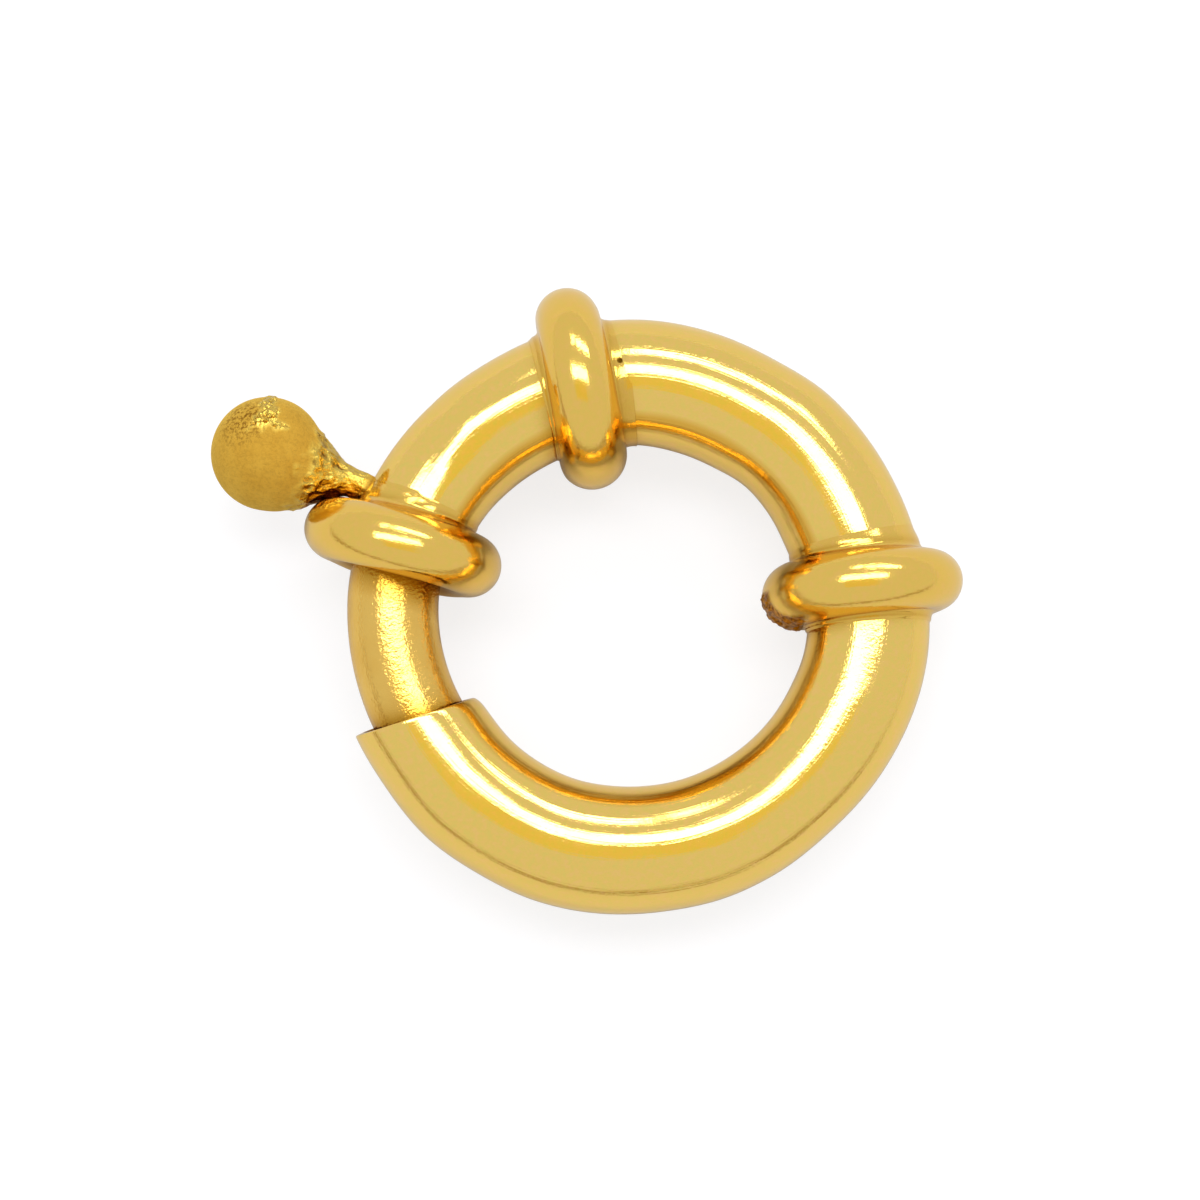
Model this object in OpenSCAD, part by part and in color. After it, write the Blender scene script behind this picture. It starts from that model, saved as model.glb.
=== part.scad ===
// Spring ring clasp: a hollow ring tube with three beaded collars, and a sprung bolt across its gate.
// Millimetres. The origin is the ring's centre in its middle plane, and +Z is the ring's axis.
// Places round the ring are angles from +X, anticlockwise seen from +Z.

/* [Ring tube] */
// Outer diameter of the ring, measured over the tube
ring_od = 18; // [16:0.25:22]
// Outer diameter of the tube
tube_d = 3.75; // [3.5:0.05:4.2]
// Thickness of the tube's wall
tube_wall = 0.26; // [0.22:0.01:0.34]
// Place of the open end that takes the bolt's tip
mouth_angle = 205; // [200:0.5:212]
// Turn of that end's cut away from square
mouth_skew = 5; // [0:0.5:8]

/* [Collars] */
// Outer diameter of each collar, over its bead
collar_od = 6.1; // [5.6:0.05:6.8]
// Width of the round bead
bead_d = 1.93; // [1.5:0.01:2.2]
// Height of the thin sleeve over the tube
sleeve_t = 0.12; // [0.05:0.01:0.25]
// Reach of the sleeve past the bead on its long side
sleeve_long = 0.6; // [0.3:0.01:0.9]
// Reach of the sleeve past the bead on its short side
sleeve_short = 0.28; // [0.1:0.01:0.4]
// Gap between a collar and the tube inside it
collar_gap = 0.02; // [0.01:0.005:0.05]
// Distance from the middle of the gate collar's bead to the tube's end
end_tuck = 0.2; // [0.1:0.05:0.4]
// Length of the gate collar's lip, which covers the tube's end and guides the bolt
lip_t = 0.45; // [0.3:0.05:0.5]
// Place of the collar at the gate
gate_angle = 163.2; // [158:0.1:166]
// Place of the collar at the slot's far end
top_angle = 102.3; // [96:0.1:104]
// Place of the collar across the ring from the gate
side_angle = 6.6; // [-10:0.1:20]
// Turn of the gate collar's bead away from square
gate_lean = 2; // [-2:0.5:4]
// Turn of the top collar's bead away from square
top_lean = -3; // [-5:0.5:3]
// Turn of the side collar's bead away from square
side_lean = -1; // [-5:0.5:5]

/* [Bolt] */
// Diameter of the sliding bolt
bolt_d = 2.75; // [2.4:0.01:2.9]
// Thickness of the hollow bolt's wall
bolt_wall = 0.3; // [0.25:0.01:0.5]
// Thickness of the bolt's closed tip
tip_wall = 0.6; // [0.4:0.05:1]
// Length of the bolt's tip inside the mouth
tip_in = 0.5; // [0.3:0.05:1.2]
// Length of the chamfer on the bolt's tip
tip_chamfer = 0.3; // [0.1:0.05:0.5]
// Length of the bolt past the trigger, on the spring's side
bolt_tail = 0.9; // [0.7:0.05:1.4]
// Gap between the bolt and what guides it: the lip round its rod and the bore round its fat tail
guide_gap = 0.05; // [0.03:0.01:0.1]
// Gap between the tail's shoulder and the lip, with the gate closed
shoulder_gap = 0.05; // [0.02:0.01:0.1]
// Turn of the bolt about the ring's centre that opens the gate
bolt_travel = 38; // [30:0.5:38]

/* [Trigger] */
// Place of the trigger's foot on the bolt, with the gate closed
trigger_angle = 152.3; // [150:0.1:153]
// Turn of the trigger's stem away from straight out, towards the gate
trigger_lean = 8.7; // [4:0.1:9]
// Diameter of the trigger's ball
ball_d = 3.45; // [2.6:0.05:3.6]
// Distance from the bolt's centre line to the ball's centre
ball_reach = 4.9; // [4.8:0.05:6]
// Diameter of the trigger's stem
stem_d = 0.77; // [0.6:0.01:0.9]
// Half angle of the cone between ball and stem
neck_angle = 37; // [34:0.5:45]
// Radius of the curve from that cone into the stem
neck_fillet = 1.3; // [0.8:0.05:1.6]
// Gap between the stem and its hole in the bolt
stem_gap = 0.015; // [0.01:0.005:0.03]
// Gap between the stem and the slot's sides
slot_gap = 0.1; // [0.05:0.01:0.15]

/* [Spring] */
// Diameter of the spring's wire
wire_d = 0.3; // [0.2:0.01:0.35]
// Gap between the spring and the bore round it
spring_gap = 0.15; // [0.1:0.01:0.3]
// Number of open turns in the spring
open_turns = 9; // [6:1:10]
// Place of the plug that the spring pushes on
stop_angle = 64; // [50:1:66]
// Length of that plug
stop_length = 5.4; // [1:0.1:7]
// Gap between the plug and the bore round it
stop_gap = 0.01; // [0.005:0.005:0.03]

/* [Hidden] */
GOLD = [0.88, 0.71, 0.34];
STEEL = [0.70, 0.70, 0.71];
$fn = 72;

// Radii, and the circle that the tube, the bolt and the spring all follow
tube_r = tube_d / 2;
bore_r = tube_r - tube_wall;
bolt_r = bolt_d / 2;
ring_r = (ring_od - tube_d) / 2;
bead_r = bead_d / 2;
bead_centre_r = collar_od / 2 - bead_r;
ball_r = ball_d / 2;
stem_r = stem_d / 2;

// The angle round the ring that a length along its centre line takes
function turn(length) = length / ring_r * 180 / PI;

// The tube ends behind the gate collar's lip, and its skewed mouth is cut from a slightly longer arc
tube_end = gate_angle + turn(end_tuck);
skew_room = turn(tube_r * tan(mouth_skew)) + 1;

// The bolt runs from its tail, by the trigger, to its tip in the mouth
tail_angle = trigger_angle - turn(bolt_tail);
tip_angle = mouth_angle + turn(tip_in);
shoulder_angle = tube_end - turn(shoulder_gap);
tail_r = bore_r - guide_gap;

// The slot follows the stem where it passes the tube's wall, and its end holes are a little wider than its sides
wall_mid_r = tube_r - tube_wall / 2;
stem_in_wall = trigger_angle
    + atan(wall_mid_r * sin(trigger_lean) / (ring_r + wall_mid_r * cos(trigger_lean)));
slot_w = stem_d + 2 * slot_gap;
slot_end_d = slot_w + 0.04;
slot_reach = tube_r + sleeve_t + 0.2;

// The spring's coil: one closed turn at each end, and a small gap before what each end bears on
coil_r = bore_r - spring_gap - wire_d / 2;
end_pitch = turn(1.4 * wire_d);
spring_seat = turn(wire_d / 2 + 0.05);
spring_from = stop_angle + spring_seat;
spring_to = tail_angle - spring_seat;
spring_turns = open_turns + 2;
open_pitch = (spring_to - spring_from - 2 * end_pitch) / open_turns;
TURN_STEPS = 14;
WIRE_SIDES = 6;

// A collar's room is cut this far to each side of it
COLLAR_SPAN = 30;

// What the 2D children draw beside the centre line, swept round the ring between two angles
module ring_arc(from, to) {
    rotate(from)
        rotate_extrude(angle = to - from)
            translate([ring_r, 0])
                children();
}

// Children are placed on the centre line at an angle, with +X straight out and +Y anticlockwise
module on_ring(angle) {
    rotate(angle)
        translate([ring_r, 0, 0])
            children();
}

// Children are placed with +Z out along the trigger's stem and their origin on the bolt's centre line
module on_stem(angle) {
    on_ring(angle)
        rotate(trigger_lean)
            rotate([0, 90, 0])
                children();
}

// What the stem sweeps through the tube's wall as the bolt slides
module slot() {
    rotate(stem_in_wall - bolt_travel)
        rotate_extrude(angle = bolt_travel)
            translate([ring_r + bolt_r, -slot_w / 2])
                square([slot_reach - bolt_r, slot_w]);
    for (angle = [trigger_angle - bolt_travel, trigger_angle])
        on_stem(angle)
            translate([0, 0, bolt_r])
                cylinder(h = slot_reach - bolt_r, d = slot_end_d);
}

// A hollow tube bent round to a ring, open at the gate and slotted on its outer side for the trigger
module ring_tube() {
    color(GOLD)
        difference() {
            ring_arc(mouth_angle - skew_room, tube_end + 360)
                circle(tube_r);
            ring_arc(mouth_angle - skew_room - 1, tube_end + 361)
                circle(bore_r);
            on_ring(mouth_angle)
                rotate(-mouth_skew)
                    translate([-tube_d, -tube_d, -tube_d])
                        cube([2 * tube_d, tube_d, 2 * tube_d]);
            slot();
        }
}

// A round bead on a thin sleeve, with the ring tube's own curve as its bore, as far as tube_to.
// on and back are the sleeve's reach from the bead's middle, anticlockwise and clockwise.
module collar(angle, lean, on, back, tube_to) {
    color(GOLD)
        difference() {
            union() {
                on_ring(angle)
                    rotate(lean)
                        rotate([90, 0, 0])
                            rotate_extrude()
                                translate([bead_centre_r, 0])
                                    circle(bead_r);
                ring_arc(angle - turn(back), angle + turn(on))
                    circle(tube_r + sleeve_t);
            }
            ring_arc(angle - COLLAR_SPAN, tube_to)
                circle(tube_r + collar_gap);
            ring_arc(tube_to - COLLAR_SPAN, angle + COLLAR_SPAN)
                circle(bolt_r + guide_gap);
        }
}

// Its lip stands past the tube's end, so the tube's own room is cut only as far as that end
module gate_collar() {
    difference() {
        collar(gate_angle, gate_lean, end_tuck + lip_t, bead_r + sleeve_long, tube_end + turn(collar_gap));
        slot();
    }
}

module top_collar() {
    collar(top_angle, top_lean, bead_r + sleeve_short, bead_r + sleeve_long, top_angle + COLLAR_SPAN);
}

module side_collar() {
    collar(side_angle, side_lean, bead_r + sleeve_long, bead_r + sleeve_short, side_angle + COLLAR_SPAN);
}

// A tube bent to the ring's curve, with a fatter tail, a closed tip and a hole for the trigger's stem
module bolt() {
    color(GOLD)
        difference() {
            union() {
                ring_arc(tail_angle, tip_angle)
                    circle(bolt_r);
                ring_arc(tail_angle, shoulder_angle)
                    circle(tail_r);
            }
            ring_arc(tail_angle - 1, tip_angle - turn(tip_wall))
                circle(bolt_r - bolt_wall);
            on_ring(tip_angle)
                rotate([-90, 0, 0])
                    rotate_extrude()
                        polygon([
                            [bolt_r - 2 * tip_chamfer, tip_chamfer],
                            [bolt_r + tip_chamfer, tip_chamfer],
                            [bolt_r + tip_chamfer, -2 * tip_chamfer]
                        ]);
            on_stem(trigger_angle)
                translate([0, 0, -stem_gap])
                    cylinder(h = bolt_d, r = stem_r + stem_gap);
        }
}

// The trigger's outline from the stem's inner end to the ball's far pole, as [radius, distance out]
neck_end_r = stem_r + neck_fillet * (1 - cos(neck_angle));
neck_start_r = ball_r * cos(neck_angle);
neck_start = ball_reach - ball_r * sin(neck_angle);
neck_end = neck_start - (neck_start_r - neck_end_r) / tan(neck_angle);
fillet_start = neck_end - neck_fillet * sin(neck_angle);
ARC_STEP = 5;
trigger_outline = concat(
    [[0, 0], [stem_r, 0]],
    [for (a = [0 : neck_angle / 8 : neck_angle])
        [stem_r + neck_fillet * (1 - cos(a)), fillet_start + neck_fillet * sin(a)]],
    [for (a = [-neck_angle : (90 + neck_angle) / 26 : 89])
        [ball_r * cos(a), ball_reach + ball_r * sin(a)]],
    [[0, ball_reach + ball_r]]
);

// A ball drawn down through a cone to the stem that is fixed in the bolt
module trigger_knob() {
    color(GOLD)
        on_stem(trigger_angle)
            rotate_extrude()
                polygon(trigger_outline);
}

// The spring's wire: how far round the ring it is after so many turns, and where its centre then lies
function spring_angle(turns) =
    spring_from
    + end_pitch * min(turns, 1)
    + open_pitch * max(0, min(turns - 1, open_turns))
    + end_pitch * max(0, turns - 1 - open_turns);
function along(angle, out, up) = [
    (ring_r + out) * cos(angle),
    (ring_r + out) * sin(angle),
    up
];
function wire_centre(turns) = along(spring_angle(turns), coil_r * cos(360 * turns), coil_r * sin(360 * turns));
function coil_centre(turns) = along(spring_angle(turns), 0, 0);
function unit(v) = v / norm(v);
function wire_ring(turns) =
    let (
        step = 0.01,
        forward = unit(wire_centre(turns + step) - wire_centre(turns - step)),
        side = unit(cross(forward, wire_centre(turns) - coil_centre(turns))),
        out = cross(side, forward)
    )
    [for (i = [0 : WIRE_SIDES - 1])
        wire_centre(turns) + wire_d / 2 * (cos(360 * i / WIRE_SIDES) * out + sin(360 * i / WIRE_SIDES) * side)];

// A compression spring bent along the bore, from the plug to the bolt's tail
module spring() {
    rings = spring_turns * TURN_STEPS;
    points = [for (i = [0 : rings]) each wire_ring(i / TURN_STEPS)];
    sides = [for (i = [0 : rings - 1], j = [0 : WIRE_SIDES - 1])
        let (k = (j + 1) % WIRE_SIDES)
        [i * WIRE_SIDES + j, i * WIRE_SIDES + k, (i + 1) * WIRE_SIDES + k, (i + 1) * WIRE_SIDES + j]];
    near_cap = [for (j = [WIRE_SIDES - 1 : -1 : 0]) j];
    far_cap = [for (j = [0 : WIRE_SIDES - 1]) rings * WIRE_SIDES + j];
    color(STEEL)
        polyhedron(points, concat([near_cap], sides, [far_cap]));
}

// A short plug in the bore, which the spring's far end pushes on
module spring_stop() {
    color(GOLD)
        ring_arc(stop_angle - turn(stop_length), stop_angle)
            circle(bore_r - stop_gap);
}

ring_tube();
gate_collar();
top_collar();
side_collar();
bolt();
trigger_knob();
spring();
spring_stop();
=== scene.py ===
# Spring ring clasp in yellow gold: a hollow ring with three beaded collars, and a sprung bolt over its gate.
# Metres and degrees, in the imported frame: the origin is the ring's centre, +Z its axis, and angles run
# anticlockwise from +X.
import math

import bpy
from mathutils import Matrix, Vector, noise


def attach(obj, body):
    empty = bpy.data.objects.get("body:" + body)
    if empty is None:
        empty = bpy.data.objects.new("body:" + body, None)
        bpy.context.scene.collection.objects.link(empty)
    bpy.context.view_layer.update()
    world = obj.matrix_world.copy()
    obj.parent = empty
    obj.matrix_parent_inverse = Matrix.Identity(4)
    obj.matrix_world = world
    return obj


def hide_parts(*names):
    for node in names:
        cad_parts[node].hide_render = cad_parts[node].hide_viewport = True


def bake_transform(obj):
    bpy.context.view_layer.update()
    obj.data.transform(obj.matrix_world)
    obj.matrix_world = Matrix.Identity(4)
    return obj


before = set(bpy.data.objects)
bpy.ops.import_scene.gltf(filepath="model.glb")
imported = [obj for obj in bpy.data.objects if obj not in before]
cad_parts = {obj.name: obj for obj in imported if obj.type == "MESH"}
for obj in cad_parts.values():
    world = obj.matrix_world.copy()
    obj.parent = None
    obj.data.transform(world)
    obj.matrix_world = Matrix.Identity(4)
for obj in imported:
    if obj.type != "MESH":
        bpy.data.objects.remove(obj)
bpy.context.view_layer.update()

# Ring tube
# The body of the clasp is a drawn tube of yellow gold alloy, bent round to a ring and polished by hand on a
# mop, so its reflections waver. It ends square behind the gate collar and slightly skewed at the mouth, and a
# slot for the trigger is milled in its outer side.
MM = 0.001
RING_R = 7.125 * MM
TUBE_R = 1.875 * MM
TUBE_WALL = 0.26 * MM
BORE_R = TUBE_R - TUBE_WALL
MOUTH_ANGLE = 205.7
MOUTH_SKEW = 7
MOUTH_LEAN = 0.13
MOUTH_RUN = 8
GATE_ANGLE = 163.2
TUBE_SIDES = 96
BEND_STEP = 1.2
MERGE_WITHIN = 0.0004 * MM
RIM_EDGE = 0.045 * MM


def turn(length):
    """Degrees round the ring that a length along its centre line takes."""
    return math.degrees(length / RING_R)


def ring_point(angle, out=0.0, up=0.0):
    """A point beside the ring's centre line, at an angle round the ring."""
    a = math.radians(angle)
    return Vector(((RING_R + out) * math.cos(a), (RING_R + out) * math.sin(a), up))


def ring_angle(point):
    """The angle round the ring of a point, from 0 to 360."""
    return math.degrees(math.atan2(point.y, point.x)) % 360


TUBE_END = GATE_ANGLE + turn(0.2 * MM)


def begin(piece, name):
    """Names a new primitive, puts its place in its mesh, and opens it in edit mode."""
    piece.name = piece.data.name = name
    bpy.ops.object.transform_apply(location=True, rotation=True, scale=True)
    bpy.ops.object.mode_set(mode="EDIT")
    bpy.ops.mesh.select_all(action="SELECT")
    return piece


def round_section(name, radius, angle, sides=TUBE_SIDES):
    """A circle square to the ring's centre line, open in edit mode."""
    bpy.ops.object.select_all(action="DESELECT")
    bpy.ops.mesh.primitive_circle_add(
        vertices=sides,
        radius=radius,
        location=ring_point(angle),
        rotation=(math.pi / 2, 0, math.radians(angle)),
    )
    return begin(bpy.context.object, name)


def bend_on(angle, step=BEND_STEP):
    """Carries what is selected on round the ring, as a rod is bent on."""
    steps = max(1, round(abs(angle) / step))
    bpy.ops.mesh.spin(steps=steps, angle=-math.radians(angle), center=(0, 0, 0), axis=(0, 0, 1))


def outward():
    """Merges doubled points and turns all faces of the piece in edit mode outwards."""
    bpy.ops.mesh.select_all(action="SELECT")
    bpy.ops.mesh.remove_doubles(threshold=MERGE_WITHIN)
    bpy.ops.mesh.normals_make_consistent(inside=False)


def ease_edges(width, segments=3, sharpness=55):
    """Rounds the sharp edges of the piece in edit mode."""
    bpy.ops.mesh.select_mode(type="EDGE")
    bpy.ops.mesh.select_all(action="DESELECT")
    bpy.ops.mesh.edges_select_sharp(sharpness=math.radians(sharpness))
    bpy.ops.mesh.bevel(offset=width, segments=segments, profile=0.5, affect="EDGES", clamp_overlap=True)
    bpy.ops.mesh.select_mode(type="VERT")


def apply_modifier(piece, kind, **settings):
    """Adds a modifier to a piece and applies it."""
    bpy.ops.object.select_all(action="DESELECT")
    bpy.context.view_layer.objects.active = piece
    piece.select_set(True)
    bpy.ops.object.modifier_add(type=kind)
    modifier = piece.modifiers[-1]
    for name, value in settings.items():
        setattr(modifier, name, value)
    bpy.ops.object.modifier_apply(modifier=modifier.name)


def smooth(piece, angle=35):
    """Shades a piece smooth up to an angle between its faces."""
    bpy.ops.object.select_all(action="DESELECT")
    bpy.context.view_layer.objects.active = piece
    piece.select_set(True)
    bpy.ops.object.shade_smooth_by_angle(angle=math.radians(angle))


def waves(name, size, detail):
    """Procedural clouds for an uneven surface, with waves of a real size."""
    texture = bpy.data.textures.new(name, "CLOUDS")
    texture.noise_scale = size
    texture.noise_depth = detail
    return texture


ring_tube = round_section("ring_tube_polished", TUBE_R, MOUTH_ANGLE)
bend_on(TUBE_END + 360 - MOUTH_ANGLE)
outward()
bpy.ops.object.mode_set(mode="OBJECT")
# The mouth's edge is slanted by turning the points near it.
mouth_turn = Matrix.Rotation(math.radians(MOUTH_ANGLE - MOUTH_SKEW), 3, "Z")
mouth_normal = mouth_turn @ Vector((0, 1, -MOUTH_LEAN))
for v in ring_tube.data.vertices:
    past_mouth = (ring_angle(v.co) - MOUTH_ANGLE + 1) % 360 - 1
    if past_mouth < MOUTH_RUN:
        reach = math.hypot(v.co.x, v.co.y)
        skewed = (math.tan(math.radians(MOUTH_SKEW)) * (RING_R - reach) + MOUTH_LEAN * v.co.z) / reach
        v.co = Matrix.Rotation(skewed * (1 - past_mouth / MOUTH_RUN), 3, "Z") @ v.co
# Waves in the surface, each with how far it rises from trough to crest.
MIDDLE_SHADE = 0.5
SURFACE_WAVES = (
    (waves("polishing_waves", 2.6 * MM, detail=1), 0.022 * MM),
    (waves("slow_waves", 7 * MM, detail=0), 0.06 * MM),
)
for texture, rise in SURFACE_WAVES:
    apply_modifier(
        ring_tube, "DISPLACE", texture=texture, texture_coords="LOCAL", strength=rise, mid_level=MIDDLE_SHADE
    )
apply_modifier(ring_tube, "SOLIDIFY", thickness=TUBE_WALL, offset=-1)
bpy.ops.object.mode_set(mode="EDIT")
ease_edges(RIM_EDGE)
bpy.ops.object.mode_set(mode="OBJECT")
# Where the outer side is mopped flat, how deep, and how full the curve of its depth is.
FLAT_FROM, FLAT_TO, FLAT_DEPTH, FLAT_FULLNESS = 104, 160, 0.2 * MM, 0.7
# Where the faces above and below that flat fall away outwards, and how steeply.
LEAN_FROM, LEAN_FULL, LEAN_LAST, LEAN_END = 124, 145, 152, 159
LEAN = 0.15
LEAN_START, LEAN_EASE, LEAN_LEVEL = 0.9 * MM, 0.35 * MM, 1.2 * MM
# How far off the tube a point of a collar still follows the tube, and over what height that fades.
FOLLOW_REACH, FOLLOW_FADE = 0.5 * MM, 0.35 * MM
THINNEST_WALL = 0.03 * MM
# How the mouth's inner edge is rubbed round, and where its points are.
MOUTH_ROUNDING, MOUTH_DIP = 0.42 * MM, 0.17 * MM
RIM_MARGIN, MOUTH_ZONE = 0.1 * MM, 10
# How far out the centre line is bent, and how much thicker the tube is, every so many degrees from +X, in
# hundredths of a millimetre.
HAND_BENT_STEP = 12
HAND_BENT = (
    9, -2, -5, 0, 3, -6, -5, -2, -2, -4, -5, -3, -4, -4, 0, 0, 0, -1, -5, 1, 1, 4, 2, 0, 1, -1, -3, 1, 5, 11,
)
HAND_DRAWN = (
    -3, 2, 5, 3, 1, 0, 2, 4, 3, 2, 2, 1, -5, -7, -3, 0, 0, 2, 4, 5, 3, 4, 5, 3, 2, -2, -7, -6, -4, -4,
)


def clamp(value):
    """A share kept between 0 and 1."""
    return max(0.0, min(1.0, value))


def uneven(steps, angle):
    """A value in metres at an angle, on a smooth curve through steps given in hundredths of a millimetre."""
    place = angle / HAND_BENT_STEP
    first, share = int(place), place % 1
    a, b, c, d = (steps[(first + i) % len(steps)] for i in (-1, 0, 1, 2))
    curve = b + share * (c - a + share * (2 * a - 5 * b + 4 * c - d + share * (3 * b - a - 3 * c + d))) / 2
    return curve * MM / 100


def hand_shaped(point):
    """Where a point of the tube or a sleeve goes: the ring is bent a little unevenly, drawn a little unevenly
    thick, and mopped flatter on the slot's side. The bore and the beads stay as they are."""
    angle = ring_angle(point)
    outward_way = ring_point(angle).normalized()
    from_line = point - ring_point(angle)
    off_line = from_line.length
    on_wall = clamp((off_line - BORE_R) / TUBE_WALL) * clamp((TUBE_R + FOLLOW_REACH - off_line) / FOLLOW_FADE)
    if on_wall == 0:
        return point
    out = from_line.dot(outward_way)
    moved = from_line + on_wall * (
        outward_way * uneven(HAND_BENT, angle) + from_line.normalized() * uneven(HAND_DRAWN, angle)
    )
    worn = math.sin(math.pi * clamp((angle - FLAT_FROM) / (FLAT_TO - FLAT_FROM))) ** FLAT_FULLNESS
    moved -= outward_way * FLAT_DEPTH * clamp(out / TUBE_R) * on_wall * worn
    lean = clamp((angle - LEAN_FROM) / (LEAN_FULL - LEAN_FROM))
    lean *= clamp((LEAN_END - angle) / (LEAN_END - LEAN_LAST))
    past = out + LEAN_START
    drop = LEAN * lean ** 2 * (3 - 2 * lean) * (past + math.hypot(past, LEAN_EASE)) / 2
    moved.z -= math.copysign(drop * on_wall * clamp(abs(moved.z) / LEAN_LEVEL), moved.z)
    least = BORE_R + THINNEST_WALL + max(0.0, off_line - TUBE_R)
    if off_line > least > moved.length:
        moved = moved.normalized() * least
    return ring_point(angle) + moved


def burnished(point):
    """Where a point of the tube goes as the inner side of the mouth is rubbed round."""
    behind = (point - ring_point(MOUTH_ANGLE)).dot(mouth_normal)
    angle = ring_angle(point)
    if not -RIM_MARGIN < behind < MOUTH_ROUNDING or abs(angle - MOUTH_ANGLE) >= MOUTH_ZONE:
        return point
    outward_way = ring_point(angle).normalized()
    from_line = point - ring_point(angle)
    inner = clamp(-from_line.dot(outward_way) / TUBE_R) * clamp((from_line.length - BORE_R) / TUBE_WALL)
    dip = 1 - math.sqrt(1 - (1 - clamp(behind / MOUTH_ROUNDING)) ** 2)
    return point + outward_way * MOUTH_DIP * inner * dip


for v in ring_tube.data.vertices:
    v.co = burnished(hand_shaped(v.co))

TRIGGER_ANGLE = 152.3
TRIGGER_LEAN = 8.7
BOLT_TRAVEL = 38
SLOT_W = 0.97 * MM
SLOT_END_R = 0.505 * MM
SLOT_END_SIDES = 62
SLOT_DEPTH = 1.3 * MM
SLOT_END_DEPTH = SLOT_DEPTH + 0.1 * MM
SLOT_MIDDLE = 1.85 * MM
WALL_MIDDLE = TUBE_R - TUBE_WALL / 2


def stem_point(angle, along, across=0.0):
    """A point on the trigger stem's line, or beside it in the ring's plane, with its foot at an angle."""
    tilt = math.radians(angle + TRIGGER_LEAN)
    return ring_point(angle) + Vector((
        along * math.cos(tilt) - across * math.sin(tilt), along * math.sin(tilt) + across * math.cos(tilt), 0
    ))


def slot_cutter():
    """The milling cutter's path: an arc along the tube's outer side, and a round hole at each end."""
    slot_to = ring_angle(stem_point(TRIGGER_ANGLE, WALL_MIDDLE))
    bpy.ops.object.select_all(action="DESELECT")
    bpy.ops.mesh.primitive_plane_add(
        size=1,
        location=ring_point(slot_to - BOLT_TRAVEL, SLOT_MIDDLE),
        rotation=(math.pi / 2, 0, math.radians(slot_to - BOLT_TRAVEL)),
    )
    path = bpy.context.object
    path.scale = (SLOT_DEPTH, SLOT_W, 1)
    begin(path, "slot_path")
    bend_on(BOLT_TRAVEL)
    bpy.ops.mesh.select_all(action="DESELECT")
    bpy.ops.mesh.select_non_manifold()
    bpy.ops.mesh.edge_face_add()
    outward()
    bpy.ops.object.mode_set(mode="OBJECT")
    for angle in (TRIGGER_ANGLE - BOLT_TRAVEL, TRIGGER_ANGLE):
        bpy.ops.object.select_all(action="DESELECT")
        bpy.ops.mesh.primitive_cylinder_add(
            vertices=SLOT_END_SIDES,
            radius=SLOT_END_R,
            depth=SLOT_END_DEPTH,
            location=stem_point(angle, SLOT_MIDDLE),
            rotation=(0, math.pi / 2, math.radians(angle + TRIGGER_LEAN)),
        )
        end = begin(bpy.context.object, "slot_end")
        bpy.ops.object.mode_set(mode="OBJECT")
        apply_modifier(path, "BOOLEAN", operation="UNION", object=end, solver="EXACT")
        bpy.data.objects.remove(end)
    return path


slot_tool = slot_cutter()
apply_modifier(ring_tube, "BOOLEAN", operation="DIFFERENCE", object=slot_tool, solver="EXACT")
smooth(ring_tube)


def colour(code):
    """A colour for a socket from its sRGB hex code."""
    channels = [int(code[i:i + 2], 16) / 255 for i in (1, 3, 5)]
    return (*[c / 12.92 if c <= 0.04045 else ((c + 0.055) / 1.055) ** 2.4 for c in channels], 1)


def add_node(tree, kind, sockets=None, **settings):
    """Adds a node with its settings. A socket's value is a number, a colour or the socket that feeds it."""
    node = tree.nodes.new(kind)
    for name, value in settings.items():
        setattr(node, name, value)
    for name, value in (sockets or {}).items():
        if isinstance(value, bpy.types.NodeSocket):
            tree.links.new(value, node.inputs[name])
        else:
            node.inputs[name].default_value = value
    return node


def new_metal(name):
    """A new material's node tree, its metal shader and its place on the object."""
    material = bpy.data.materials.new(name)
    material.use_nodes = True
    tree = material.node_tree
    tree.nodes.clear()
    shader = add_node(tree, "ShaderNodeBsdfPrincipled", {"Metallic": 1.0})
    add_node(tree, "ShaderNodeOutputMaterial", {"Surface": shader.outputs["BSDF"]})
    place = add_node(tree, "ShaderNodeTexCoord").outputs["Object"]
    return material, tree, shader, place


def ring_place(tree, place):
    """Where a point is as the ring goes: from the axis, along the ring and up, in metres. Also its angle in
    radians."""
    flat = add_node(tree, "ShaderNodeVectorMath", {0: place, 1: (1, 1, 0)}, operation="MULTIPLY")
    reach = add_node(tree, "ShaderNodeVectorMath", {0: flat.outputs["Vector"]}, operation="LENGTH")
    parts = add_node(tree, "ShaderNodeSeparateXYZ", {"Vector": place})
    angle = add_node(
        tree, "ShaderNodeMath", {0: parts.outputs["Y"], 1: parts.outputs["X"]}, operation="ARCTAN2"
    )
    along = add_node(tree, "ShaderNodeMath", {0: angle.outputs["Value"], 1: RING_R}, operation="MULTIPLY")
    joined = add_node(
        tree, "ShaderNodeCombineXYZ",
        {"X": reach.outputs["Value"], "Y": along.outputs["Value"], "Z": parts.outputs["Z"]},
    )
    return joined.outputs["Vector"], angle.outputs["Value"]


def relief(tree, place, marks):
    """Adds up marks on a surface to one height in millimetres. Each mark is its width across, its length
    along and its height, in millimetres."""
    height = 0
    for across, along, rise in marks:
        stretched = add_node(
            tree, "ShaderNodeVectorMath",
            {0: place, 1: (1 / (across * MM), 1 / (along * MM), 1 / (across * MM))}, operation="MULTIPLY",
        )
        mark = add_node(
            tree, "ShaderNodeTexNoise", {"Vector": stretched.outputs["Vector"], "Scale": 1.0, "Detail": 2.0}
        )
        total = add_node(
            tree, "ShaderNodeMath", {0: mark.outputs["Fac"], 1: rise, 2: height}, operation="MULTIPLY_ADD"
        )
        height = total.outputs["Value"]
    return height


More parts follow.
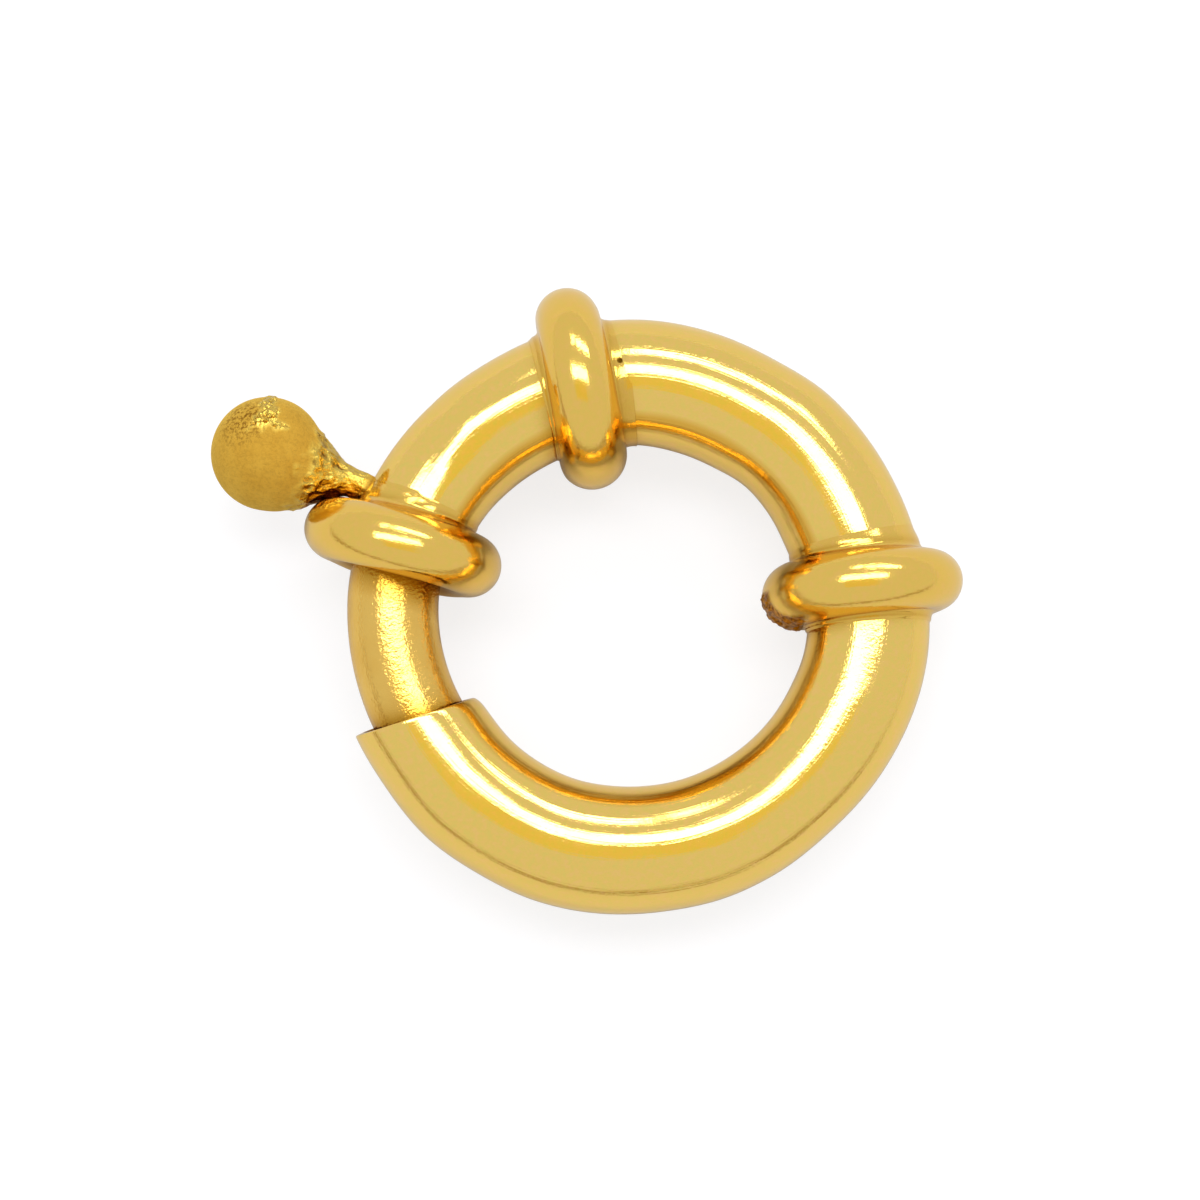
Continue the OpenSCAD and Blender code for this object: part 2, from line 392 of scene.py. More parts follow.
def share_round(degrees):
    """An angle round the ring as a share of the turn from -180 to 180 degrees."""
    return degrees / 360 + 0.5


# At most this share of a gold's colour is painted over in corners: painted shade, and before it a deeper gold
# as a painted gold-on-gold reflection.
CORNER_SHADE_SHARE = 0.85
PAINTED_BOUNCE_GOLD = "#C88F14"


def painted_corner_shade(tree, unshaded, reach, open_from=0.75, brown="#7A4C16"):
    """A gold's colour with painted shade in corners within a reach: first a deeper gold, which is a painted
    gold-on-gold reflection, and then a painted brown shade. From open_from on, as a share of open
    surroundings, it stays unshaded."""
    corner = add_node(tree, "ShaderNodeAmbientOcclusion", {"Distance": reach}, samples=6)
    darkened = unshaded
    for unshaded_at, full_at, tone in ((open_from, open_from - 0.3, PAINTED_BOUNCE_GOLD), (open_from - 0.2, 0.1, brown)):
        in_corner = add_node(
            tree, "ShaderNodeMapRange",
            {"Value": corner.outputs["AO"], "From Min": full_at, "From Max": unshaded_at,
             "To Min": CORNER_SHADE_SHARE, "To Max": 0.0},
        )
        mixed = add_node(
            tree, "ShaderNodeMix", {"Factor": in_corner.outputs["Result"], 6: darkened, 7: colour(tone)},
            data_type="RGBA",
        )
        darkened = mixed.outputs[2]
    return darkened


def patchy(tree, place, size, detail, smoothest, roughest):
    """A finish that varies in patches of a real size: how far into a patch a point is, and its roughness."""
    patch = add_node(tree, "ShaderNodeTexNoise", {"Vector": place, "Scale": 1 / size, "Detail": detail})
    wear = add_node(
        tree, "ShaderNodeMapRange",
        {"Value": patch.outputs["Fac"], "From Min": 0.3, "From Max": 0.7, "To Min": smoothest,
         "To Max": roughest},
    )
    return patch.outputs["Fac"], wear.outputs["Result"]


def polished_gold(name):
    """Yellow gold alloy, mopped to a mirror by hand: warm and bright, its colour slightly mottled. Also gives
    its colour before any painted shade."""
    material, tree, shader, place = new_metal(name)
    mottle = add_node(
        tree, "ShaderNodeTexNoise",
        {"Vector": place, "Scale": 1 / (0.2 * MM), "Detail": 4.0, "Roughness": 0.7},
    )
    tint = add_node(tree, "ShaderNodeValToRGB", {"Fac": mottle.outputs["Fac"]})
    tint.color_ramp.elements[0].position = 0.36
    tint.color_ramp.elements[0].color = colour("#F6D872")
    tint.color_ramp.elements[1].position = 0.64
    tint.color_ramp.elements[1].color = colour("#FED47C")
    tint.color_ramp.elements.new(0.5).color = colour("#FBD672")
    return material, tree, shader, place, tint.outputs["Color"]


# How far from the axis the browner line of painted dark reflection runs along the tube's inner side.
PAINTED_LINE_REACH = RING_R - 1.4 * MM


def tube_gold():
    """The tube's polished gold: mop lines along it, bending marks in one stretch, and a browner line painted
    along its inner side as a painted dark reflection."""
    material, tree, shader, place, unshaded = polished_gold("polished_yellow_gold")
    ring_spot, angle = ring_place(tree, place)
    from_axis = add_node(tree, "ShaderNodeSeparateXYZ", {"Vector": ring_spot})
    # The painted dark reflection: a browner line, full within 0.08 mm of that reach and gone by 0.26 mm.
    off_line = add_node(
        tree, "ShaderNodeMath", {0: from_axis.outputs["X"], 1: PAINTED_LINE_REACH}, operation="SUBTRACT"
    )
    off_painted_line = add_node(tree, "ShaderNodeMath", {0: off_line.outputs["Value"]}, operation="ABSOLUTE")
    on_painted_line = add_node(
        tree, "ShaderNodeMapRange",
        {"Value": off_painted_line.outputs["Value"], "From Min": 0.08 * MM, "From Max": 0.26 * MM,
         "To Min": 1.0, "To Max": 0.0},
    )
    painted_dark_line = add_node(
        tree, "ShaderNodeMix", {"Factor": on_painted_line.outputs["Result"], 6: unshaded, 7: colour("#EAB84C")},
        data_type="RGBA",
    )
    # Painted shade where the tube's corners close in within 0.8 mm, as beside the collars.
    corner_shaded = painted_corner_shade(tree, painted_dark_line.outputs[2], 0.8 * MM, open_from=0.85, brown="#74460F")
    tree.links.new(corner_shaded, shader.inputs["Base Color"])
    _, gloss = patchy(tree, place, 1.6 * MM, 3.0, smoothest=0.06, roughest=0.12)
    tree.links.new(gloss, shader.inputs["Roughness"])
    mopped = relief(
        tree, ring_spot, ((0.07, 9, 0.0045), (1.2, 0.13, 0.0015), (0.5, 0.5, 0.005), (0.07, 0.07, 0.002))
    )
    coarse = relief(tree, ring_spot, ((0.1, 0.1, 0.006), (0.25, 0.3, 0.006)))
    round_ring = add_node(
        tree, "ShaderNodeMapRange", {"Value": angle, "From Min": -math.pi, "From Max": math.pi}
    )
    less_mopped = add_node(tree, "ShaderNodeValToRGB", {"Fac": round_ring.outputs["Result"]})
    shades = less_mopped.color_ramp
    shades.elements[0].position, shades.elements[0].color = share_round(-66), (0, 0, 0, 1)
    shades.elements[1].position, shades.elements[1].color = share_round(8), (0, 0, 0, 1)
    shades.elements.new(share_round(-32)).color = (0.6, 0.6, 0.6, 1)
    shades.elements.new(share_round(-4)).color = (1, 1, 1, 1)
    added = add_node(
        tree, "ShaderNodeMath", {0: coarse, 1: less_mopped.outputs["Color"], 2: mopped},
        operation="MULTIPLY_ADD",
    )
    bump = add_node(
        tree, "ShaderNodeBump", {"Height": added.outputs["Value"], "Distance": MM, "Strength": 1.0}
    )
    tree.links.new(bump.outputs["Normal"], shader.inputs["Normal"])
    return material


mirror_gold = tube_gold()


def give(piece, material, node, body):
    """Gives a piece its one material, hides its CAD node, and ties it to its body if it has one."""
    piece.data.materials.clear()
    piece.data.materials.append(material)
    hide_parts(node)
    if body:
        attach(piece, body)


give(ring_tube, mirror_gold, "ring_tube", "ring")

# Spring stop
# A plain plug of the same gold, soldered in the bore between the top and side collars. The spring pushes on
# it. The tube hides it.
STOP_ANGLE = 64
STOP_LENGTH = 5.4 * MM
STOP_R = BORE_R - 0.01 * MM
STOP_EDGE = 0.08 * MM
spring_stop = round_section("spring_stop_plug", STOP_R, STOP_ANGLE - turn(STOP_LENGTH), sides=64)
bend_on(turn(STOP_LENGTH), step=2)
bpy.ops.mesh.select_all(action="SELECT")
bpy.ops.mesh.fill_holes(sides=0)
outward()
ease_edges(STOP_EDGE)
bpy.ops.object.mode_set(mode="OBJECT")
smooth(spring_stop)
give(spring_stop, mirror_gold, "spring_stop", "ring")

# Spring
# A compression spring of hard drawn steel wire in the bore, between the plug and the bolt's tail. Its end
# turns are closed. On the clasp it shortens as the bolt slides back; here it is built at its length at rest.
WIRE_R = 0.15 * MM
SPRING_GAP = 0.15 * MM
COIL_R = BORE_R - SPRING_GAP - WIRE_R
OPEN_TURNS = 9
END_PITCH = turn(2.8 * WIRE_R)
SPRING_SEAT = turn(WIRE_R + 0.05 * MM)
BOLT_TAIL = 0.9 * MM
TAIL_ANGLE = TRIGGER_ANGLE - turn(BOLT_TAIL)
POINTS_A_TURN = 28


def coiled_wire():
    """The spring's wire as a round bar along a helix that follows the bore."""
    start, end = STOP_ANGLE + SPRING_SEAT, TAIL_ANGLE - SPRING_SEAT
    open_pitch = (end - start - 2 * END_PITCH) / OPEN_TURNS
    line = bpy.data.curves.new("spring_wire_line", "CURVE")
    line.dimensions = "3D"
    line.bevel_depth, line.bevel_resolution, line.use_fill_caps = WIRE_R, 3, True
    path = line.splines.new("POLY")
    count = (OPEN_TURNS + 2) * POINTS_A_TURN + 1
    path.points.add(count - 1)
    for i in range(count):
        turns = i / POINTS_A_TURN
        opened = min(max(turns - 1, 0), OPEN_TURNS)
        angle = start + END_PITCH * (turns - opened) + open_pitch * opened
        phase = 2 * math.pi * turns
        spot = ring_point(angle, COIL_R * math.cos(phase), COIL_R * math.sin(phase))
        path.points[i].co = (*spot, 1)
    wire = bpy.data.objects.new("spring_coil", line)
    bpy.context.collection.objects.link(wire)
    bpy.ops.object.select_all(action="DESELECT")
    bpy.context.view_layer.objects.active = wire
    wire.select_set(True)
    bpy.ops.object.convert(target="MESH")
    return bpy.context.object


def spring_steel():
    """Hard drawn steel wire: grey, half bright, with fine drawing marks."""
    material, tree, shader, place = new_metal("drawn_spring_steel")
    cloud = add_node(tree, "ShaderNodeTexNoise", {"Vector": place, "Scale": 1 / (0.4 * MM), "Detail": 3.0})
    tint = add_node(
        tree, "ShaderNodeMix", {"Factor": cloud.outputs["Fac"], 6: colour("#A9A8A4"), 7: colour("#C4C3BE")},
        data_type="RGBA",
    )
    tree.links.new(tint.outputs[2], shader.inputs["Base Color"])
    wear = add_node(
        tree, "ShaderNodeMapRange", {"Value": cloud.outputs["Fac"], "To Min": 0.25, "To Max": 0.42}
    )
    tree.links.new(wear.outputs["Result"], shader.inputs["Roughness"])
    marks = add_node(tree, "ShaderNodeTexNoise", {"Vector": place, "Scale": 1 / (0.05 * MM), "Detail": 2.0})
    bump = add_node(
        tree, "ShaderNodeBump", {"Height": marks.outputs["Fac"], "Distance": 0.002 * MM, "Strength": 1.0}
    )
    tree.links.new(bump.outputs["Normal"], shader.inputs["Normal"])
    return material


spring = coiled_wire()
smooth(spring)
give(spring, spring_steel(), "spring", None)
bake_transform(spring)

# Bolt
# A rod of the same gold alloy bent to the ring's curve. Its thick tail fills the bore and carries the
# trigger, and its rod closes the gate and ends eased in the mouth. It is left satin, with drawing lines.
BOLT_R = 1.375 * MM
GUIDE_GAP = 0.05 * MM
SHOULDER_GAP = 0.05 * MM
TAIL_R = BORE_R - GUIDE_GAP
SHOULDER_ANGLE = TUBE_END - turn(SHOULDER_GAP)
TIP_IN_MOUTH = 0.5 * MM
TIP_ANGLE = MOUTH_ANGLE + turn(TIP_IN_MOUTH)
TIP_EASE = 0.3 * MM
TIP_EASE_STEPS = 6
# The rod is bent inwards from this angle on, by so much at its tip.
BEND_FROM = TUBE_END + 11
TIP_INWARD = 0.1 * MM


def narrow(angle, share):
    """Shrinks what is selected about the centre line."""
    bpy.ops.transform.resize(value=(share,) * 3, center_override=ring_point(angle))


bolt = round_section("bolt_satin", TAIL_R, TAIL_ANGLE)
bend_on(SHOULDER_ANGLE - TAIL_ANGLE)
bpy.ops.mesh.extrude_region_move()
narrow(SHOULDER_ANGLE, BOLT_R / TAIL_R)
bend_on(TIP_ANGLE - turn(TIP_EASE) - SHOULDER_ANGLE)
reached, radius = TIP_ANGLE - turn(TIP_EASE), BOLT_R
for step in range(1, TIP_EASE_STEPS + 1):
    phase = math.pi / 2 * step / TIP_EASE_STEPS
    angle = TIP_ANGLE - turn(TIP_EASE) + turn(TIP_EASE * math.sin(phase))
    new_radius = BOLT_R - TIP_EASE * (1 - math.cos(phase))
    bend_on(angle - reached, step=90)
    narrow(angle, new_radius / radius)
    reached, radius = angle, new_radius
bpy.ops.mesh.select_all(action="SELECT")
bpy.ops.mesh.fill_holes(sides=0)
outward()
bpy.ops.object.mode_set(mode="OBJECT")
for v in bolt.data.vertices:
    bent = clamp((ring_angle(v.co) - BEND_FROM) / (TIP_ANGLE - BEND_FROM))
    v.co -= v.co.normalized() * TIP_INWARD * bent
smooth(bolt)


def satin_gold():
    """Yellow gold alloy as drawn: a soft broad shine, with lines along the rod and a fine grain."""
    material, tree, shader, place = new_metal("satin_yellow_gold")
    patch, gloss = patchy(tree, place, 0.9 * MM, 4.0, smoothest=0.15, roughest=0.23)
    tint = add_node(
        tree, "ShaderNodeMix", {"Factor": patch, 6: colour("#F8D272"), 7: colour("#EFBE5A")}, data_type="RGBA"
    )
    # Painted shade in the bolt's corners within 1.1 mm, as where it goes into the gate collar, deepening to
    # dark brown.
    corner_shaded = painted_corner_shade(tree, tint.outputs[2], 1.1 * MM, open_from=0.95, brown="#4E2A06")
    tree.links.new(corner_shaded, shader.inputs["Base Color"])
    tree.links.new(gloss, shader.inputs["Roughness"])
    ring_spot, _ = ring_place(tree, place)
    drawn = relief(tree, ring_spot, ((0.1, 0.1, 0.017), (0.16, 3, 0.008), (0.3, 0.3, 0.011)))
    bump = add_node(tree, "ShaderNodeBump", {"Height": drawn, "Distance": MM, "Strength": 1.0})
    tree.links.new(bump.outputs["Normal"], shader.inputs["Normal"])
    return material


give(bolt, satin_gold(), "bolt", "bolt")

# Trigger knob
# A cast ball drawn down through a neck to the stem that is soldered in the bolt. It is left as cast, matt and
# darker, with a rough patch on its top where the sprue was cut and a crumpled neck.
BALL_R = 1.725 * MM
BALL_REACH = 4.9 * MM
STEM_R = 0.385 * MM
NECK_ANGLE = math.radians(37)
NECK_FILLET = 1.3 * MM
STEM_FOOT = 0.15 * MM
STEM_EDGE = 0.05 * MM
STEM_STEPS, FILLET_STEPS, CONE_STEPS, BALL_STEPS = 40, 24, 28, 92
KNOB_STEPS = 240


def trigger_outline():
    """The knob's half outline from the stem's foot to the ball's far pole, each point as its distance from
    the stem's line and its distance out."""
    neck_end_r = STEM_R + NECK_FILLET * (1 - math.cos(NECK_ANGLE))
    neck_start_r = BALL_R * math.cos(NECK_ANGLE)
    neck_start = BALL_REACH - BALL_R * math.sin(NECK_ANGLE)
    neck_end = neck_start - (neck_start_r - neck_end_r) / math.tan(NECK_ANGLE)
    fillet_start = neck_end - NECK_FILLET * math.sin(NECK_ANGLE)
    points = [(0, STEM_FOOT), (STEM_R - STEM_EDGE, STEM_FOOT), (STEM_R, STEM_FOOT + STEM_EDGE)]
    for i in range(2, STEM_STEPS):
        points.append((STEM_R, STEM_FOOT + (fillet_start - STEM_FOOT) * i / STEM_STEPS))
    for i in range(FILLET_STEPS + 1):
        a = NECK_ANGLE * i / FILLET_STEPS
        points.append((STEM_R + NECK_FILLET * (1 - math.cos(a)), fillet_start + NECK_FILLET * math.sin(a)))
    for i in range(1, CONE_STEPS):
        share = i / CONE_STEPS
        cone_r = neck_end_r + (neck_start_r - neck_end_r) * share
        points.append((cone_r, neck_end + (neck_start - neck_end) * share))
    for i in range(BALL_STEPS):
        a = -NECK_ANGLE + (math.pi / 2 + NECK_ANGLE) * i / BALL_STEPS
        points.append((BALL_R * math.cos(a), BALL_REACH + BALL_R * math.sin(a)))
    points.append((0, BALL_REACH + BALL_R))
    return points


def draw_line(name, points):
    """A line drawn point by point, open in edit mode with all of it selected."""
    bpy.ops.object.select_all(action="DESELECT")
    bpy.ops.mesh.primitive_plane_add(size=MM, location=points[0])
    piece = begin(bpy.context.object, name)
    bpy.ops.mesh.merge(type="CENTER")
    for here, there in zip(points, points[1:]):
        bpy.ops.mesh.extrude_vertices_move(TRANSFORM_OT_translate={"value": there - here})
    bpy.ops.mesh.select_all(action="SELECT")
    return piece


trigger_knob = draw_line(
    "trigger_knob_cast", [stem_point(TRIGGER_ANGLE, out, across) for across, out in trigger_outline()]
)
stem_foot = stem_point(TRIGGER_ANGLE, 0)
stem_way = (stem_point(TRIGGER_ANGLE, MM) - stem_foot).normalized()
stem_side = stem_point(TRIGGER_ANGLE, 0, 1) - stem_foot
ball_centre = stem_point(TRIGGER_ANGLE, BALL_REACH)
bpy.ops.mesh.spin(steps=KNOB_STEPS, angle=2 * math.pi, center=stem_foot, axis=stem_way)
outward()
bpy.ops.object.mode_set(mode="OBJECT")
# The neck sags a little to one side, and is a little fuller than a cone.
SAG, SAG_MIDDLE, SAG_HALF, NECK_SWELL = 0.085 * MM, 3.25 * MM, 1.4 * MM, 0.06 * MM
for v in trigger_knob.data.vertices:
    out = (v.co - stem_foot).dot(stem_way)
    bell = (1 + math.cos(math.pi * clamp(abs(out - SAG_MIDDLE) / SAG_HALF))) / 2
    from_stem = v.co - stem_foot - stem_way * out
    v.co += (stem_side * SAG + from_stem.normalized() * NECK_SWELL) * bell

# The torn patch on the ball's top, in millimetres from the ball's centre: its middle, its tip, its half width
# there and how much wider it grows over a run to the south, and where it ends to the south and below.
PATCH_EAST, PATCH_TIP, PATCH_TIP_HALF, PATCH_WIDENS, PATCH_RUN = 0.1, 1.75, 0.14, 0.42, 1.2
PATCH_SOUTH, PATCH_BOTTOM = 0.45, -0.2
# The torn stretch of the neck, in millimetres out from the bolt's centre line.
TORN_FROM, TORN_TO = 1.6, 3.75
RAGGED_SIZE = 0.35 * MM
TEAR_DEPTH = 0.13
FACET_HEIGHT = 1.4


def torn_at(point):
    """How torn the casting is at a point, from 0 to 1: on the ball's top, and round the neck."""
    off = point - ball_centre
    ragged = noise.noise(point / RAGGED_SIZE)
    x, y = off.x / MM - PATCH_EAST, off.y / MM
    half = PATCH_TIP_HALF + PATCH_WIDENS * clamp((PATCH_TIP - y) / PATCH_RUN)
    on_top = clamp((1.0 - abs(x) / half + 0.7 * ragged) * 2.5) * clamp((y - PATCH_SOUTH + 0.3 * ragged) * 8)
    on_top *= off.z > PATCH_BOTTOM * MM
    out = (point - stem_foot).dot(stem_way) / MM
    round_neck = clamp((TORN_TO - out + 0.5 * ragged) * 2.5) * clamp((out - TORN_FROM) * 4)
    return on_top, round_neck


def facets(point, width, length):
    """The height of crumpled metal at a point, from 0 to 1: facets of a width, drawn out along the stem to a
    length."""
    out = (point - ball_centre).dot(stem_way)
    drawn = point / width + stem_way * out * (1 / length - 1 / width)
    return min(1.0, noise.voronoi(drawn)[0][0] * FACET_HEIGHT)


def tear(piece):
    """Crumples the torn places of the casting, and keeps for the material how torn each point is, and how
    deep it lies."""
    points = [v.co.copy() for v in piece.data.vertices]
    normals = [v.normal.copy() for v in piece.data.vertices]
    torn = [torn_at(point) for point in points]
    depths = []
    for v, point, normal, (on_top, round_neck) in zip(piece.data.vertices, points, normals, torn):
        top_facet = facets(point, 0.15 * MM, 0.15 * MM)
        neck_facet = 0.75 * facets(point, 0.26 * MM, 0.7 * MM) + 0.25 * facets(point, 0.12 * MM, 0.2 * MM)
        rise = TEAR_DEPTH * on_top * (top_facet - 0.65) + TEAR_DEPTH * round_neck * (neck_facet - 0.4)
        v.co += normal * MM * rise
        depths.append(max(0.65 * on_top * (1 - top_facet), round_neck * (1 - neck_facet)))
    for name, values in (("torn_casting", [max(shares) for shares in torn]), ("torn_depth", depths)):
        kept = piece.data.attributes.new(name, "FLOAT", "POINT")
        kept.data.foreach_set("value", values)


tear(trigger_knob)
smooth(trigger_knob, angle=22)


def within(tree, place, centre, inner, outer):
    """How far inside a spot of the surface a point is: 1 within an inner distance of its centre, and 0 past
    an outer one."""
    away = add_node(tree, "ShaderNodeVectorMath", {0: place, 1: centre}, operation="DISTANCE")
    share = add_node(
        tree, "ShaderNodeMapRange",
        {"Value": away.outputs["Value"], "From Min": inner, "From Max": outer, "To Min": 1.0, "To Max": 0.0},
    )
    return share.outputs["Result"]


def cast_gold():
    """Yellow gold alloy as cast: matt, with a sandy grain and brown specks, and sharp bright and dark facets
    where it is torn, with painted shade in their deepest hollows."""
    material, tree, shader, place = new_metal("cast_yellow_gold")
    patch, matt = patchy(tree, place, 0.8 * MM, 5.0, smoothest=0.88, roughest=0.98)
    tint = add_node(
        tree, "ShaderNodeMix", {"Factor": patch, 6: colour("#E6C65E"), 7: colour("#DCBA50")}, data_type="RGBA"
    )
    speck = add_node(
        tree, "ShaderNodeTexNoise",
        {"Vector": place, "Scale": 1 / (0.11 * MM), "Detail": 3.0, "Roughness": 0.75},
    )
    near_patch = within(tree, place, ball_centre + Vector((-0.6, 0.8, 1.3)) * MM, 0.35 * MM, 1.0 * MM)
    speck_share = add_node(
        tree, "ShaderNodeMath", {0: near_patch, 1: 0.75, 2: 0.15}, operation="MULTIPLY_ADD"
    )
    in_speck = add_node(
        tree, "ShaderNodeMapRange",
        {"Value": speck.outputs["Fac"], "From Min": 0.46, "From Max": 0.62, "To Min": 0.0,
         "To Max": speck_share.outputs["Value"]},
    )
    specked = add_node(
        tree, "ShaderNodeMix",
        {"Factor": in_speck.outputs["Result"], 6: tint.outputs[2], 7: colour("#9A6A1E")}, data_type="RGBA",
    )
    # The deepest hollows of the torn metal are painted dark brown: painted shade.
    deep = add_node(tree, "ShaderNodeAttribute", attribute_name="torn_depth")
    in_tear = add_node(
        tree, "ShaderNodeMapRange",
        {"Value": deep.outputs["Fac"], "From Min": 0.35, "From Max": 0.75, "To Min": 0.0, "To Max": 0.9},
    )
    hollow_shaded = add_node(
        tree, "ShaderNodeMix",
        {"Factor": in_tear.outputs["Result"], 6: specked.outputs[2], 7: colour("#7A4310")}, data_type="RGBA",
    )
    # Painted shade in the knob's corners within 0.5 mm, as where the neck comes near the gate collar.
    tree.links.new(painted_corner_shade(tree, hollow_shaded.outputs[2], 0.5 * MM), shader.inputs["Base Color"])
    torn = add_node(tree, "ShaderNodeAttribute", attribute_name="torn_casting")
    gloss = add_node(
        tree, "ShaderNodeMix", {"Factor": torn.outputs["Fac"], 2: matt, 3: 0.15}, data_type="FLOAT"
    )
    tree.links.new(gloss.outputs[0], shader.inputs["Roughness"])
    sandy = relief(tree, place, ((0.06, 0.06, 0.024), (0.25, 0.25, 0.016)))
    bump = add_node(tree, "ShaderNodeBump", {"Height": sandy, "Distance": MM, "Strength": 1.0})
    tree.links.new(bump.outputs["Normal"], shader.inputs["Normal"])
    return material


give(trigger_knob, cast_gold(), "trigger_knob", "bolt")

# Collars
# Three turned collars of the same gold, each a round bead on a thin sleeve. They are slid on to the tube,
# soldered and polished with it. The gate collar covers the tube's end and guides the bolt, and the slot runs
# under its edge.
COLLAR_R = 3.05 * MM
BEAD_R = 0.965 * MM
BEAD_CENTRE = COLLAR_R - BEAD_R
SLEEVE_R = TUBE_R + 0.055 * MM
COLLAR_BORE = TUBE_R + 0.02 * MM
SLEEVE_LONG = BEAD_R + 0.6 * MM
SLEEVE_SHORT = BEAD_R + 0.28 * MM
SOLDER_R = 0.15 * MM
SOLDER_DIP = 0.008 * MM
SLEEVE_EDGE, TRUMPET_EDGE = 0.4 * MM, 0.55 * MM
SLEEVE_FOOT = 0.05 * MM
LIP_BORE = BOLT_R + 0.13 * MM
LIP_STOP = 0.02 * MM
COLLAR_STEPS, EDGE_STEPS, BORE_STEPS = 160, 12, 14
SLEEVE_STEP = 0.06 * MM


def arc(centre, radius, start, end, steps):
    """Points on an arc, as (along the collar's axis, away from it), with angles in degrees from the axis."""
    return [
        (
            centre[0] + radius * math.cos(math.radians(start + (end - start) * i / steps)),
            centre[1] + radius * math.sin(math.radians(start + (end - start) * i / steps)),
        )
        for i in range(steps + 1)
    ]


def sleeve_side(reach, way, trumpet=False):
    """The outline of one sleeve from where its solder runs out on the tube up to the bead, and the bead's
    angle that it meets. way is 1 or -1 along the axis. A trumpet flares all the way, and other sleeves are
    straight next to the bead."""
    solder_x = math.sqrt((BEAD_R + SOLDER_R) ** 2 - (SLEEVE_R + SOLDER_R - BEAD_CENTRE) ** 2)
    meets = math.degrees(math.asin((SLEEVE_R + SOLDER_R - BEAD_CENTRE) / (BEAD_R + SOLDER_R)))
    level = solder_x if trumpet else max(reach - SLEEVE_EDGE, solder_x)
    line = [(reach, TUBE_R - SOLDER_DIP - SLEEVE_FOOT)]
    for i in range(EDGE_STEPS + 1):
        up = (i / EDGE_STEPS) ** 2 if trumpet else (1 - math.cos(math.pi * i / EDGE_STEPS)) / 2
        height = TUBE_R - SOLDER_DIP + (SLEEVE_R - TUBE_R + SOLDER_DIP) * up
        line.append((reach + (level - reach) * i / EDGE_STEPS, height))
    steps = max(2, round((level - solder_x) / SLEEVE_STEP))
    line += [(level + (solder_x - level) * i / steps, SLEEVE_R) for i in range(1, steps)]
    line += arc((solder_x, SLEEVE_R + SOLDER_R), SOLDER_R, -90, meets - 180, 8)
    return [(way * x, r) for x, r in line], meets


def collar_outline(on, back, lip, trumpet):
    """The closed outline of a collar beside its axis. on and back are how far its sleeve reaches each way."""
    start, meets = sleeve_side(back, -1, trumpet)
    if lip:
        low = -math.degrees(math.asin((BEAD_CENTRE - LIP_BORE) / BEAD_R))
        outline = start + arc((0, BEAD_CENTRE), BEAD_R, 180 - meets, low, 80)[1:]
        bore_on = math.radians(TUBE_END - GATE_ANGLE) * RING_R + LIP_STOP
        outline += [(bore_on, LIP_BORE), (bore_on, COLLAR_BORE)]
    else:
        end, _ = sleeve_side(on, 1)
        bore_on = on - SLEEVE_EDGE
        outline = start + arc((0, BEAD_CENTRE), BEAD_R, 180 - meets, meets, 64)[1:-1] + end[::-1]
        outline += [(bore_on, COLLAR_BORE)]
    bore_back = (TRUMPET_EDGE if trumpet else SLEEVE_EDGE) - back
    for i in range(1, BORE_STEPS + 1):
        outline.append((bore_on + (bore_back - bore_on) * i / BORE_STEPS, COLLAR_BORE))
    return outline + [outline[0]]


# How high above the sleeve a collar takes its bead's own shape, and stops following the tube.
BEAD_FROM, STRAIGHT_FROM = 0.3 * MM, 0.35 * MM
WAVES_REACH, WAVES_FADE = 0.35 * MM, 0.25 * MM


def swollen(point, inner_swell, outer_swell):
    """Where a point of a collar, turned about +Y at the origin, goes as its bead is made thicker at its inner
    and outer end."""
    reach = math.hypot(point.x, point.z)
    inner = (1 - point.x / reach) / 2
    round_way = Vector((point.x / reach, 0, point.z / reach))
    from_middle = point - round_way * BEAD_CENTRE
    swell = inner_swell * inner ** 2 + outer_swell * (1 - inner) ** 2
    return point + from_middle * swell / BEAD_R * clamp((reach - SLEEVE_R) / BEAD_FROM)


def on_the_ring(point, angle, lean, nod, slope):
    """Where a point of a collar, turned about +Y at the origin, goes on the ring. Its bead stays straight,
    set a little askew by hand, and its sleeve and foot follow the tube. lean is in degrees, nod and slope are
    shares of the point's height."""
    share = clamp((math.hypot(point.x, point.z) - SLEEVE_R) / STRAIGHT_FROM)
    share *= share * (3 - 2 * share)
    point = Matrix.Rotation(math.radians(lean), 3, "Z") @ point
    lower = slope * point.x * share * point.z / COLLAR_R
    point = Vector((point.x, point.y + nod * point.z * share, point.z - lower))
    reach = RING_R + point.x
    along = min(abs(point.y), BEAD_R)
    bend = math.copysign(math.atan(along / reach) + (abs(point.y) - along) / RING_R, point.y)
    away = reach + (math.hypot(reach, along) - reach) * share
    a = math.radians(angle) + bend
    return Vector((away * math.cos(a), away * math.sin(a), point.z))


def waved(point):
    """Where a point of a sleeve goes as it follows the waves in the tube's surface."""
    raised = sum(rise * (texture.evaluate(point)[3] - MIDDLE_SHADE) for texture, rise in SURFACE_WAVES)
    from_line = point - ring_point(ring_angle(point))
    near_tube = clamp((TUBE_R + WAVES_REACH - from_line.length) / WAVES_FADE)
    return point + from_line.normalized() * raised * near_tube


def make_collar(name, angle, lean, on, back, swells=(0.0, 0.0), nod=0.0, slope=0.0, lip=False, trumpet=False):
    """A collar turned from its outline, then set on the ring. swells are how much thicker its bead's inner
    and outer ends are."""
    piece = draw_line(name, [Vector((r, x, 0)) for x, r in collar_outline(on, back, lip, trumpet)])
    bpy.ops.mesh.spin(steps=COLLAR_STEPS, angle=2 * math.pi, center=(0, 0, 0), axis=(0, 1, 0))
    outward()
    bpy.ops.object.mode_set(mode="OBJECT")
    for v in piece.data.vertices:
        v.co = hand_shaped(waved(on_the_ring(swollen(v.co, *swells), angle, lean, nod, slope)))
    return piece


